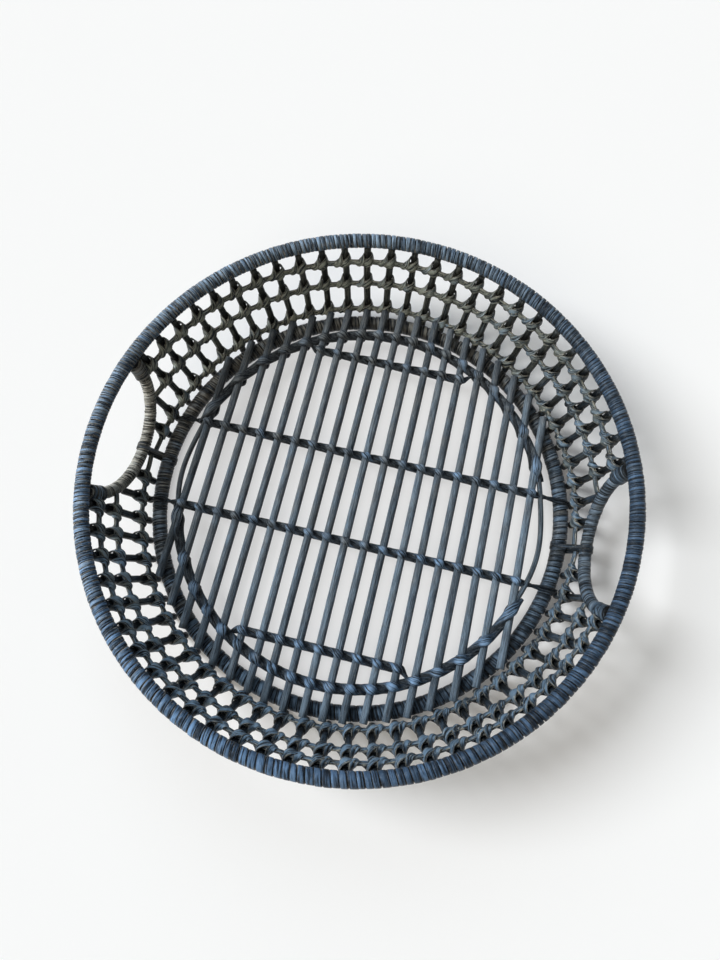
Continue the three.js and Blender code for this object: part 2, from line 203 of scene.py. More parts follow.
def sweep(path, facing, width, thickness, sides=STRIP_SIDES, flatness=STRIP_FLATNESS, tone=0.5, wear=0.5):
    """A closed body along a path. `facing` is the way its flat face looks. Width, thickness, tone and wear
    may change along the path."""
    count = len(path)
    width = np.broadcast_to(width, count)
    thickness = np.broadcast_to(thickness, count)
    tone = np.broadcast_to(tone, count)
    wear = np.broadcast_to(wear, count)
    ahead = unit(np.gradient(path, axis=0))
    facing = unit(facing - (facing * ahead).sum(1, keepdims=True) * ahead)
    aside = np.cross(ahead, facing)
    turn = 2 * np.pi * (np.arange(sides) + 0.5) / sides
    across = np.sign(np.cos(turn)) * np.abs(np.cos(turn)) ** flatness / 2
    across /= 2 * np.abs(across).max()
    out = np.sign(np.sin(turn)) * np.abs(np.sin(turn)) ** flatness / 2
    points = (
        path[:, None]
        + aside[:, None] * (across[None, :] * width[:, None])[..., None]
        + facing[:, None] * (out[None, :] * thickness[:, None])[..., None]
    )
    near = np.arange(count - 1)[:, None] * sides + np.arange(sides)[None, :]
    near_next = np.arange(count - 1)[:, None] * sides + (np.arange(sides)[None, :] + 1) % sides
    quads = np.stack([near, near + sides, near_next + sides, near_next], -1).reshape(-1, 4)
    last = (count - 1) * sides
    caps = [list(range(sides)), list(range(last + sides - 1, last - 1, -1))]
    along = np.concatenate([[0], np.linalg.norm(np.diff(path, axis=0), axis=1).cumsum()])
    round_section = turn / (2 * np.pi) * 2 * (width.mean() + thickness.mean())
    grain = spread(round_section[None, :], along[:, None], random.uniform(0, GRAIN_STARTS))
    edge = np.broadcast_to(np.abs(across) * 2, (count, sides))
    if flatness >= 1:
        edge = np.zeros((count, sides))
    return {
        "points": points.reshape(-1, 3),
        "faces": quads.tolist() + caps,
        "grain": grain.reshape(-1, 3),
        "edge": edge.ravel(),
        "tone": np.repeat(tone, sides),
        "wear": np.repeat(wear, sides),
    }


def add_piece(name, bodies, material, slot, *stands_for):
    """One mesh from swept bodies, which rides on the tray and stands for the named CAD nodes."""
    starts = np.cumsum([0] + [len(body["points"]) for body in bodies])
    points = np.vstack([body["points"] for body in bodies]) * MM
    faces = [[i + start for i in face] for body, start in zip(bodies, starts) for face in body["faces"]]
    mesh = bpy.data.meshes.new(name)
    mesh.from_pydata(points, [], faces)
    grain = mesh.attributes.new("grain", "FLOAT_VECTOR", "POINT")
    grain.data.foreach_set("vector", np.vstack([body["grain"] for body in bodies]).ravel())
    for key in ("edge", "tone", "wear"):
        values = mesh.attributes.new(key, "FLOAT", "POINT")
        values.data.foreach_set("value", np.concatenate([body[key] for body in bodies]))
    mesh.shade_smooth()
    mesh.materials.append(material)
    piece = bpy.data.objects.new(name, mesh)
    bpy.context.scene.collection.objects.link(piece)
    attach(piece, "root")
    if stands_for:
        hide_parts(*stands_for)


WRAP_THICKNESS = 1.5
WRAP_COVER = 0.92  # share of the pitch that a strip of a wrapping covers
WRAP_STEPS = 18  # points in one turn
WRAP_SINK = 0.15  # how much deeper one turn lies than another
TURN_TONES = (0.54, 0.1)  # of the turns: their mean and how far they spread
TONE_CHANGE = 0.25  # of a turn, where the next turn's tone begins; on a hoop that is underneath
WRAP_WEAR = 0.9
UNDERSIDE_REFLECTION = 1.1  # painted reflection of the white floor: more pale on the underside, and less on top
WEAR_LEFT = 0.9  # more at the tray's left, and less at its right
WEAR_RANGE = (0.1, 1.6)


def winding(line_at, marks, radius, width):
    """A strip wound round a line in one helix. Turn k starts at marks[k] along the line, and line_at gives
    points, normals and binormals there. `width` is one number, or one for each turn. Each turn has its own
    tone and depth. The strip has a painted pale reflection of the floor on its underside, and is most worn
    on the tray's left."""
    turns = len(marks) - 1
    turn = np.arange(turns * WRAP_STEPS + 1) / WRAP_STEPS
    point, normal, binormal = line_at(np.interp(turn, np.arange(turns + 1), marks))
    swing = 2 * np.pi * turn
    out = normal * np.cos(swing)[:, None] + binormal * np.sin(swing)[:, None]
    depth = np.interp(turn, np.arange(turns + 1), np.abs(random.normal(0, WRAP_SINK, turns + 1)))
    path = point + out * (radius - WRAP_THICKNESS / 2 - depth)[:, None]
    which = np.clip(np.floor(turn - TONE_CHANGE).astype(int), 0, turns - 1)
    tone = np.clip(random.normal(*TURN_TONES, turns), 0, 1)[which]
    # painted reflection of the floor on the underside, and real wear that grows towards the tray's left
    wear = np.clip(WRAP_WEAR - UNDERSIDE_REFLECTION * out[:, 2] - WEAR_LEFT * point[:, 0] / rim_radius, *WEAR_RANGE)
    widths = np.broadcast_to(width, turns)[which]
    return sweep(path, out, widths, WRAP_THICKNESS, tone=tone, wear=wear)


# Materials

def node(tree, kind, inputs=None, **settings):
    """Adds a shader node; an input is a value or the socket that feeds it."""
    made = tree.nodes.new(kind)
    for key, value in settings.items():
        setattr(made, key, value)
    for key, value in (inputs or {}).items():
        if isinstance(value, bpy.types.NodeSocket):
            tree.links.new(value, made.inputs[key])
        else:
            made.inputs[key].default_value = value
    return made


def linear(hex_colour):
    """A colour written as in a drawing program, as the shader wants it."""
    parts = [int(hex_colour[i : i + 2], 16) / 255 for i in (0, 2, 4)]
    return [p / 12.92 if p <= 0.04045 else ((p + 0.055) / 1.055) ** 2.4 for p in parts] + [1]


def ramp(tree, value, low, high, to_low=0.0, to_high=1.0):
    """Maps a value from low..high to to_low..to_high, smoothly, and holds it at the ends."""
    inputs = {"Value": value, "From Min": low, "From Max": high, "To Min": to_low, "To Max": to_high}
    return node(tree, "ShaderNodeMapRange", inputs, interpolation_type="SMOOTHSTEP").outputs["Result"]


def mixed(tree, factor, first, second, blend="MIX"):
    made = node(tree, "ShaderNodeMix", data_type="RGBA", blend_type=blend)
    sockets = [made.inputs["Factor"], made.inputs[6], made.inputs[7]]  # 6 and 7 take colours
    for socket, value in zip(sockets, (factor, first, second)):
        if isinstance(value, bpy.types.NodeSocket):
            tree.links.new(value, socket)
        else:
            socket.default_value = value
    return made.outputs[2]


def scaled(tree, colour, factor):
    """A colour made brighter or darker by a number."""
    grey = node(tree, "ShaderNodeCombineColor", {"Red": factor, "Green": factor, "Blue": factor})
    return mixed(tree, 1.0, colour, grey.outputs["Color"], "MULTIPLY")


def maths(tree, operation, first, second):
    return node(tree, "ShaderNodeMath", {0: first, 1: second}, operation=operation).outputs["Value"]


SHEEN = "dbe7f4"  # tints the reflections on the stain
LIT_SIDE = np.array([-0.97, 0.25, 0.0])  # painted light: towards the lit side, where the stain is painted paler
WARM_LIT_SIDE = np.array([-0.5, 0.86, 0.0])  # painted light: towards where the stain is painted duller, as if in warm light
WARM_LIGHT_TINT = 0.3  # how much of the painted dull tint that side gains

# Noise in a strand's stain: its fineness across and along the strand, per mm, and its detail
DULL_NOISE = (0.11, 0.05, 2)
BLOTCH_NOISE = (0.2, 0.07, 3)
RUB_NOISE = (0.9, 0.22, 3)
SPECK_NOISE = (1.3, 0.6, 2)
FIBRE_ALONG = 0.06
FIBRE_DETAIL = 4
NOISE_ROUGHNESS = 0.6

# The values of a noise, or of how near the strand's edge a place is, between which something comes in
DULL_RAMP = (0.25, 0.75)
FIBRE_RAMP = (0.4, 0.58)
GRIME_AND_SHADE_RAMP = (0.75, 1.0)
RUB_EDGE_RAMP = (0.55, 0.95)
RUB_RAMP = (0.46, 0.64)
SPECK_RAMP = (0.6, 0.7)
GLOSS_RAMP = (0.3, 0.7)

TONE_BRIGHTNESS = (0.2, 1.9)  # of the darkest and the palest tone
SPECK_WEAR = 0.6
ROUGHNESS = (0.45, 0.22)  # between the fibres and on them
BUMP_STRENGTH = 0.9
BUMP_DEPTH = 0.0008  # m


def cane(name, face, dull, deep, worn, wear=0.8, fibre=1.2, grime_and_shade=0.5, blotch=1.0, side_light=0.5, shine=0.2):
    """Stained cane: dark fibres along the strand, dull blotches, a tone for each turn, grime and painted
    shade along the edges, and pale wear over it. Painted light: the stain is duller and olive towards one
    side of the tray, as if in warm light, and paler, by `side_light`, towards the lit side and darker away
    from it. `deep` is the colour between the fibres, and `worn` that of rubbed places."""
    material = bpy.data.materials.new(name)
    material.use_nodes = True
    tree = material.node_tree
    shader = tree.nodes["Principled BSDF"]

    def value(attribute):
        return node(tree, "ShaderNodeAttribute", attribute_name=attribute).outputs["Fac"]

    def noise(across, along, detail):
        grain = node(tree, "ShaderNodeAttribute", attribute_name="grain").outputs["Vector"]
        place = node(tree, "ShaderNodeVectorMath", {0: grain, 1: (across, along, 1)}, operation="MULTIPLY")
        inputs = {"Vector": place.outputs["Vector"], "Scale": 1}
        inputs |= {"Detail": detail, "Roughness": NOISE_ROUGHNESS}
        return node(tree, "ShaderNodeTexNoise", inputs).outputs["Fac"]

    def nearness(side):
        place = node(tree, "ShaderNodeTexCoord").outputs["Object"]
        inputs = {0: place, 1: side / (rim_radius * MM)}
        return node(tree, "ShaderNodeVectorMath", inputs, operation="DOT_PRODUCT").outputs["Value"]

    # real dull blotches, with a painted olive tint of warm light towards one side of the tray
    dull_blotches_and_light_tint = maths(tree, "ADD", noise(*DULL_NOISE), maths(tree, "MULTIPLY", nearness(WARM_LIT_SIDE), WARM_LIGHT_TINT))
    fibres = noise(fibre, FIBRE_ALONG, FIBRE_DETAIL)
    stain = mixed(tree, ramp(tree, dull_blotches_and_light_tint, *DULL_RAMP), linear(face), linear(dull))
    # painted light: the stain is paler towards the lit side of the tray and darker away from it, by
    # side_light
    stain = scaled(tree, stain, ramp(tree, nearness(LIT_SIDE), -1, 1, 1 - side_light, 1 + side_light))
    colour = mixed(tree, ramp(tree, fibres, *FIBRE_RAMP), linear(deep), stain)
    shade = maths(tree, "ADD", value("tone"), maths(tree, "MULTIPLY", noise(*BLOTCH_NOISE), blotch))
    colour = scaled(tree, colour, ramp(tree, shade, blotch / 2, blotch / 2 + 1, *TONE_BRIGHTNESS))
    # grime and painted shade: darker towards each strip's edges, in the grooves between strips
    colour = scaled(tree, colour, ramp(tree, value("edge"), *GRIME_AND_SHADE_RAMP, 1.0, 1 - grime_and_shade))
    rubbed = maths(tree, "MULTIPLY", ramp(tree, value("edge"), *RUB_EDGE_RAMP, 0.0, wear), value("wear"))
    rubbed = maths(tree, "MULTIPLY", rubbed, ramp(tree, noise(*RUB_NOISE), *RUB_RAMP))
    specks = ramp(tree, noise(*SPECK_NOISE), *SPECK_RAMP, 0.0, SPECK_WEAR)
    rubbed = maths(tree, "MAXIMUM", rubbed, maths(tree, "MULTIPLY", specks, value("wear")))
    tree.links.new(mixed(tree, rubbed, colour, linear(worn)), shader.inputs["Base Color"])
    tree.links.new(ramp(tree, fibres, *GLOSS_RAMP, *ROUGHNESS), shader.inputs["Roughness"])
    shader.inputs["Specular IOR Level"].default_value = shine
    shader.inputs["Specular Tint"].default_value = linear(SHEEN)
    relief = {"Height": fibres, "Strength": BUMP_STRENGTH, "Distance": BUMP_DEPTH}
    bump = node(tree, "ShaderNodeBump", relief)
    tree.links.new(bump.outputs["Normal"], shader.inputs["Normal"])
    return material


rim_cane = cane("rim_cane", "607ea0", "68798a", "1a222c", "cdc6b6",
                wear=1.0, grime_and_shade=0.9, blotch=0.5, side_light=0.6)
base_cane = cane("base_cane", "677d93", "706f6a", "1a2128", "9a9588",
                 wear=0.5, grime_and_shade=0.8, blotch=0.5)
bow_canes = {
    "right": cane("right_bow_cane", "7c90a4", "7f8688", "191d21", "b4ab97",
                  wear=0.6, grime_and_shade=0.8, blotch=0.5),
    # painted light: the left bow's stain is paler and creamier than the right bow's, as if lit
    "left": cane("left_bow_lit_cane", "969a98", "a09e95", "2b2c28", "e0dacb",
                 wear=1.0, grime_and_shade=0.7, blotch=0.6),
}
floor_cane = cane("floor_cane", "6e8090", "6e7376", "3c454e", "a3a196",
                  wear=0.5, fibre=2.2, blotch=0.4, side_light=0.0, shine=0.1)
strand_cane = cane("strand_cane", "5a728c", "54585a", "10151a", "98a0a6",
                   wear=0.4, grime_and_shade=0.6, side_light=0.0)
wall_cane = cane("wall_cane", "5f7589", "5d6058", "0a0d10", "c0bba9",
                 wear=0.7, grime_and_shade=0.75, side_light=0.45, shine=0.3)
stake_cane = cane("stake_cane", "435261", "4b4d48", "0b0e10", "8f8a7c", wear=0.5)

CORE_NOISE = {"Scale": 900, "Detail": 3}
CORE_RAMP = (0.35, 0.65)
CORE_ROUGHNESS = (0.75, 0.55)


def core_cane(name, face, deep):
    """The plain rod under a wrapping, with fibres in the object's own space."""
    material = bpy.data.materials.new(name)
    material.use_nodes = True
    tree = material.node_tree
    place = node(tree, "ShaderNodeTexCoord").outputs["Object"]
    noise = node(tree, "ShaderNodeTexNoise", {"Vector": place, **CORE_NOISE}).outputs["Fac"]
    shader = tree.nodes["Principled BSDF"]
    colour = mixed(tree, ramp(tree, noise, *CORE_RAMP), linear(deep), linear(face))
    tree.links.new(colour, shader.inputs["Base Color"])
    tree.links.new(ramp(tree, noise, *GLOSS_RAMP, *CORE_ROUGHNESS), shader.inputs["Roughness"])
    return material


# painted shade: the core is nearly black, so that the gaps between a wrapping's turns read as shaded grooves
raw_cane = core_cane("raw_cane", "17191b", "0c0d0e")
for name in ("rim_hoop", "base_hoop", "right_bow", "left_bow"):
    slots = frame["nodes"][name].data.materials
    slots.clear()
    slots.append(raw_cane)


# Rim and base ring

PITCH_SHARES = (0.82, 1.18)  # the least and the most of the usual pitch that a turn takes
RIM_PITCH = 3.0  # of the turns by the handles
RIM_PITCH_ENDS = 1.8  # more at the front and the back
RIM_PITCH_FRONT = 0.75  # more again at the front, and less at the back
BASE_PITCH = 4.2
BASE_PITCH_ENDS = 1.6
BASE_PITCH_RIGHT = 0.6  # more by the right handle, and less by the left


def hoop(radius, z):
    """A hoop's centre line by the distance along it, for a winding."""

    def line_at(distance):
        normal = radial(distance / radius)
        return normal * radius + np.array([0, 0, z]), normal, spread(np.zeros(len(normal)), 0, -1)

    return line_at


def wrapped_hoop(name, radius, z, thickness, pitch_at, material):
    """A hoop's wrapping, with a pitch that changes round the tray."""
    round_length = 2 * math.pi * radius
    marks = [0.0]
    while marks[-1] < round_length:
        marks.append(marks[-1] + pitch_at(marks[-1] / radius) * random.uniform(*PITCH_SHARES))
    marks = np.array(marks) * round_length / marks[-1]
    body = winding(hoop(radius, z), marks, thickness / 2, np.diff(marks) * WRAP_COVER)
    add_piece(f"{name}_wrap", [body], material, "bound_cane", f"{name}_binding")


def rim_pitch(angle):
    """Wide turns at the front, fine ones by the handles."""
    return RIM_PITCH + RIM_PITCH_ENDS * math.sin(angle) ** 2 - RIM_PITCH_FRONT * math.sin(angle)


def base_pitch(angle):
    """Fine turns by the left handle, wide ones at the front and back."""
    return BASE_PITCH + BASE_PITCH_ENDS * math.sin(angle) ** 2 + BASE_PITCH_RIGHT * math.cos(angle)


wrapped_hoop("rim", rim_radius, rim_z, RIM_THICKNESS, rim_pitch, rim_cane)
wrapped_hoop("base", base_radius, base_z, BASE_THICKNESS, base_pitch, base_cane)


# Handle bows

BOW_POINTS = 241
BOW_WRAP_PITCH = {"right": 5.0, "left": 2.6}
END_LASH_TURNS = 4
END_LASH_PITCH = 3.4

bow_shares = np.linspace(0, 1, BOW_POINTS)
bow_points = bow_line(bow_shares)[0]
bow_runs = np.concatenate([[0], np.linalg.norm(np.diff(bow_points, axis=0), axis=1).cumsum()])
bow_length = bow_runs[-1]


def bow_at(turned):
    """A bow's centre line by the distance along it, for a winding."""

    def line_at(distance):
        parts = bow_line(np.interp(distance, bow_runs, bow_shares))
        return tuple(half_turn(part) for part in parts) if turned else parts

    return line_at


def bow_wrappings(handle, turned):
    """The strip round a bow, and the short lashing at each of its ends."""
    line_at = bow_at(turned)
    pitch = BOW_WRAP_PITCH[handle]
    marks = np.linspace(0, bow_length, round(bow_length / pitch) + 1)
    body = winding(line_at, marks, BOW_THICKNESS / 2, pitch * WRAP_COVER)
    add_piece(f"{handle}_bow_wrap", [body], bow_canes[handle], "bound_cane", f"{handle}_bow_binding")
    lash = np.arange(END_LASH_TURNS + 1) * END_LASH_PITCH
    over = BOW_THICKNESS / 2 + WRAP_THICKNESS
    ends = [winding(line_at, place, over, END_LASH_PITCH * WRAP_COVER)
            for place in (lash, bow_length - lash[::-1])]
    add_piece(f"{handle}_bow_end_lashings", ends, base_cane, "bound_cane")


bow_wrappings("right", False)
bow_wrappings("left", True)

TIE_TURNS = 2
TIE_STRIP = 3  # width of the strip
TIE_THICKNESS = 1.3
TIE_STEPS = 40
TIE_TONES = (0.1, 0.4)


def bow_tie(handle, turned):
    """A strip wound several times round the bow's lowest point and the base ring together. Under the ring
    it is pressed flat on the ground."""
    ring = np.array([base_radius, base_z])
    bow = np.array([wall_radius(BOW_LOW_Z), BOW_LOW_Z])
    ring_reach = BASE_THICKNESS / 2
    bow_reach = BOW_THICKNESS / 2
    lean = math.atan2(*(bow - ring)[::-1])
    opening = math.acos((ring_reach - bow_reach) / np.linalg.norm(bow - ring))
    over_bow = np.linspace(lean + opening, lean - opening, TIE_STEPS // 2)
    round_ring = np.linspace(lean - opening, lean + opening - 2 * math.pi, TIE_STEPS // 2)
    loop = np.vstack([
        bow + bow_reach * np.stack([np.cos(over_bow), np.sin(over_bow)], 1),
        ring + ring_reach * np.stack([np.cos(round_ring), np.sin(round_ring)], 1),
    ])
    out = np.vstack([np.stack([np.cos(a), np.sin(a)], 1) for a in (over_bow, round_ring)])
    loop[:, 1] = np.maximum(loop[:, 1], TIE_THICKNESS / 2)
    place = np.tile(loop, (TIE_TURNS, 1))
    facing = np.tile(out, (TIE_TURNS, 1))
    side = np.linspace(-0.5, 0.5, len(place)) * TIE_TURNS * TIE_STRIP
    path = spread(place[:, 0], side, place[:, 1])
    facing = spread(facing[:, 0], 0, facing[:, 1])
    if turned:
        path, facing = half_turn(path), half_turn(facing)
    tone = np.repeat(random.uniform(*TIE_TONES, TIE_TURNS), len(loop))
    body = sweep(path, facing, TIE_STRIP, TIE_THICKNESS, tone=tone)
    add_piece(f"{handle}_bow_lashing", [body], base_cane, "bound_cane", f"{handle}_bow_tie")


bow_tie("right", False)
bow_tie("left", True)


# Floor rods

ROD_RINGS = 60
ROD_SIDES = 14
ROD_BEND = 0.5
ROD_BEND_WAVES = (1.5, 3)  # radians of the bend's wave in half a rod
ROD_JOINTS = 2
ROD_JOINT_SWELL = 0.05
ROD_JOINT_SPAN = 3
ROD_RIPPLE = 0.015
ROD_RIPPLE_LENGTH = 17  # mm for each radian of the ripple's wave
ROD_CUT = 0.8  # share of a rod's thickness that the face of its cut end has
ROD_CUT_DEPTH = 0.01
ROD_TONES = (0.4, 0.6)


def floor_rod(i):
    """A straight rod, a little bent, with swollen joints and cut ends whose edges are broken."""
    half = math.sqrt((base_radius + ROD_OVERHANG) ** 2 - (abs(rod_x[i]) + ROD_DIAMETER / 2) ** 2)
    y = np.linspace(-half, half, ROD_RINGS)
    bend = ROD_BEND * np.sin(y / half * random.uniform(*ROD_BEND_WAVES) + wave_start())
    joints = random.uniform(-half, half, ROD_JOINTS)
    swell = sum(ROD_JOINT_SWELL * np.exp(-(((y - joint) / ROD_JOINT_SPAN) ** 2)) for joint in joints)
    width = ROD_DIAMETER * (1 + swell + ROD_RIPPLE * np.sin(y / ROD_RIPPLE_LENGTH + wave_start()))
    y = np.concatenate([[-half - ROD_CUT_DEPTH], y, [half + ROD_CUT_DEPTH]])
    width = np.concatenate([[width[0] * ROD_CUT], width, [width[-1] * ROD_CUT]])
    bend = np.concatenate([bend[:1], bend, bend[-1:]])
    path = spread(rod_x[i] + bend, y, rod_z)
    up = spread(np.zeros(len(y)), 0, 1)
    tone = random.uniform(*ROD_TONES)
    body = sweep(path, up, width, width, sides=ROD_SIDES, flatness=1, tone=tone)
    add_piece(f"rod_{i + 1:02d}", [body], floor_cane, "floor_cane", f"floor_rod_{i + 1:02d}")


for rod in range(ROD_COUNT):
    floor_rod(rod)


# Floor twining

TWINE_WIDTH = 5.2
TWINE_THICKNESS = 3.9
TWINE_LIFT = 4.9  # of a strand over or under the middle of a rod
TWINE_ASIDE = 1.55  # of a strand from the row's middle, between two rods
TWINE_BESIDE = 3.8  # from the middle of a rod to where a strand comes down beside it
TWINE_DROP = 1.2  # height of a strand there over or under the middle of the rod
TWINE_LEAST_ACROSS = 0.35  # least share of a row's run across the rods that is reckoned with
TWINE_STEPS = 5
TWINE_SWELL = 0.28  # how much wider a strand is over a rod, and narrower between two
TWINE_UNEVEN = 0.06  # how much wider or narrower one strand is than another
TWINE_LIGHT_TONES = (0.2, 0.8)  # painted light and shade: tone of a strand beside a rod, and how much paler it is over one and darker under one
TAIL_SHARE = 0.45  # of a strand's size that is left at its ends
INNER_TAIL_PAST = 1  # of an inner row's tail past the base ring's outer side
END_ROW_ROOM = 2 * STRAND_WIDTH + 1  # that an end row needs between itself and the ring row
END_TAIL_REACH = 0.55  # of the rods' pitch, from the last rod to where the ring row is met
END_TAIL_SHARES = (0.5, 0.9)  # of the way there, at a tail's points
RING_ROW_STOUT = 1.25  # how much stouter the strands of the ring row are
RUN_WIDTH = 4.0
RUN_SWAY = 0.8
RUN_WAVES = 11  # of the strand's sway, in a whole ring
RUN_POINTS = 40
RUN_TONE = 0.35


def twined(name, crossings, asides, tails, stout=1.0):
    """Two strands that twist round the same line, and cross the rods at the given points. One goes over a
    rod where the other goes under it. `asides` points across the line at each of them, and
    tails(phase, stations) gives each strand's points before and after. Their usual size is multiplied by
    `stout`."""
    for which, phase in enumerate((1, -1)):
        stations = []
        outward = []
        for k, (point, aside) in enumerate(zip(crossings, asides)):
            side = phase * (-1) ** k
            ahead = np.cross(aside, [0, 0, 1])
            beside = ahead * TWINE_BESIDE / max(abs(ahead[0]), TWINE_LEAST_ACROSS)
            slant = aside * side * TWINE_ASIDE
            low = np.array([0, 0, side * TWINE_DROP])
            high = np.array([0, 0, side * TWINE_LIFT])
            stations += [point - beside + slant + low, point + high, point + beside - slant + low]
            outward += [*unit(np.array([slant + low, high, low - slant]))]
        before, after = tails(phase, stations)
        path = smooth_line([*before, *stations, *after], TWINE_STEPS)
        facings = [*[outward[0]] * len(before), *outward, *[outward[-1]] * len(after)]
        facing = smooth_line(facings, TWINE_STEPS)
        raised = (path[:, 2] - rod_z) / TWINE_LIFT
        uneven = random.uniform(-TWINE_UNEVEN, TWINE_UNEVEN)
        width = TWINE_WIDTH * (1 + TWINE_SWELL * (2 * np.abs(raised) - 1) + uneven)
        tail_ends = np.array([len(before) - 1, len(before) + 0.5]) * TWINE_STEPS
        taper = np.interp(np.arange(len(path)), tail_ends, [TAIL_SHARE, 1])
        taper = np.minimum(taper, np.flip(taper)) * stout
        # painted light and shade: paler where the strand runs over a rod, darker where it runs under one
        tone = np.clip(TWINE_LIGHT_TONES[0] + TWINE_LIGHT_TONES[1] * raised, 0, 1)
        thickness = TWINE_THICKNESS * taper
        body = sweep(path, facing, width * taper, thickness, flatness=STRAND_FLATNESS, tone=tone)
        stands_for = f"{name}_strand_{which + 1}"
        add_piece(f"{name}_twine_{which + 1}", [body], strand_cane, "strand_cane", stands_for)


def straight_row(name, turned, y, xs, tails):
    stations = spread(xs, y, rod_z)
    asides = spread(np.zeros(len(stations)), 1, 0)
    if not turned:
        twined(name, stations, asides, tails)
        return

    def turned_tails(phase, made):
        before, after = tails(phase, [half_turn(p) for p in made])
        return [half_turn(p) for p in before], [half_turn(p) for p in after]

    twined(name, half_turn(stations), half_turn(asides), turned_tails)


def inner_row(name, turned, xs):
    """A row across every rod, whose ends lie on the base ring."""
    end_x = math.sqrt(base_radius**2 - INNER_ROW_OFFSET**2)
    end_z = BASE_THICKNESS + TAIL_SHARE * TWINE_THICKNESS / 2

    def tails(phase, _):
        def tail(way):
            y = INNER_ROW_OFFSET + way * phase * TAIL_SHARE * TWINE_WIDTH / 2
            xs_out = (end_x - BASE_THICKNESS / 2, end_x, end_x + BASE_THICKNESS / 2 + INNER_TAIL_PAST)
            zs = (end_z, end_z, end_z - BASE_THICKNESS / 2)
            return [np.array([way * x, y, z]) for x, z in zip(xs_out, zs)]

        return tail(-1)[::-1], tail(1)

    straight_row(name, turned, INNER_ROW_OFFSET, xs, tails)


def end_row(name, turned, xs):
    """A short row near the rods' ends, on the rods that the ring row leaves room on. Its ends run into the
    ring row."""
    held = xs[ring_row_radius**2 - xs**2 > (end_row_offset + END_ROW_ROOM) ** 2]

    def tails(_, made):
        def tail(last, way):
            far_x = last[0] + way * rod_pitch * END_TAIL_REACH
            meets = np.array([far_x, math.sqrt(ring_row_radius**2 - far_x**2), rod_z])
            return [last + (meets - last) * share for share in END_TAIL_SHARES]

        return tail(made[0], -1)[::-1], tail(made[-1], 1)

    straight_row(name, turned, end_row_offset, held, tails)


def ring_row(name, turned, xs):
    """Half of the row that runs round just inside the base ring."""
    angles = np.arccos(xs / ring_row_radius)[::-1]
    stations = radial(angles) * ring_row_radius + np.array([0, 0, rod_z])
    asides = -radial(angles)
    if turned:
        stations, asides = half_turn(stations), half_turn(asides)

    def tails(_, made):
        start = unit((made[0] - made[1])[None])[0] * RING_ROW_TAIL
        end = unit((made[-1] - made[-2])[None])[0] * RING_ROW_TAIL
        return [made[0] + start * [1, 1, 0]], [made[-1] + end * [1, 1, 0]]

    twined(name, stations, asides, tails, RING_ROW_STOUT)


def ring_run(side, middle, beside):
    """The strand that carries the ring row on past the outermost rod, beside a handle."""
    reach = math.acos(abs(beside) / ring_row_radius)
    angles = np.linspace(middle - reach, middle + reach, RUN_POINTS)
    sway = RUN_SWAY * np.sin(angles * RUN_WAVES + wave_start())
    path = radial(angles) * (ring_row_radius + sway)[:, None] + np.array([0, 0, rod_z])
    up = spread(np.zeros(len(path)), 0, 1)
    body = sweep(path, up, RUN_WIDTH, RUN_WIDTH, flatness=NEARLY_ROUND, tone=RUN_TONE)
    add_piece(f"ring_run_{side}", [body], floor_cane, "strand_cane")


ring_run("left", math.pi, rod_x[0])
ring_run("right", 0, rod_x[-1])
for side, turned in (("back", False), ("front", True)):
    places = np.sort(-rod_x) if turned else rod_x
    inner_row(f"inner_row_{side}", turned, places)
    end_row(f"end_row_{side}", turned, places)
    ring_row(f"ring_row_{side}", turned, places)


# Wall

STAKE_RINGS = 24
STAKE_SWAY = 0.003  # radians round the tray
STAKE_SWAY_LENGTH = 19  # mm for each radian of the sway's wave
STAKE_WIDTHS = (0.98, 1.12)  # of a stake, as shares of the usual width
STAKE_TONES = (0.4, 0.75)
STAKE_SEARCH = 0.25  # step in which a stake is run up to a bow
HOLLOW_SHADE = 0.5  # painted shade: how much darker a stake is in the hollow just above a row
HOLLOW_RISE = 3
HOLLOW_SPAN = 6
ROW_SEARCH = 0.001  # radians, the step in which a row is run up to a bow
CARRIER_WIDTH = 4.6
CARRIER_THICKNESS = 2.6
CARRIER_OUT = 4.0  # from the middle of a stake to the middle of a row's carrier strand
CARRIER_DROOP = 0.8  # between two stakes
CARRIER_STEPS = 4
CARRIER_TONE = 0.8
CARRIER_WEAR = 0.8
KNOT_WIDTH = 6.4
KNOT_THICKNESS = 1.3
KNOT_STEPS = 4
KNOT_ROOM = 4  # that a knot needs between its stake and the row's end
KNOT_STRAY = 0.18  # how far one knot strays from another
KNOT_TONES = (0.2, 0.55)
KNOT_PAINTED_DEPTH_LIGHT = 0.6  # painted light and shade: paler where a knot stands out, darker where it is sunk behind the stake
KNOT_WEAR = 0.9  # of its palest stretches

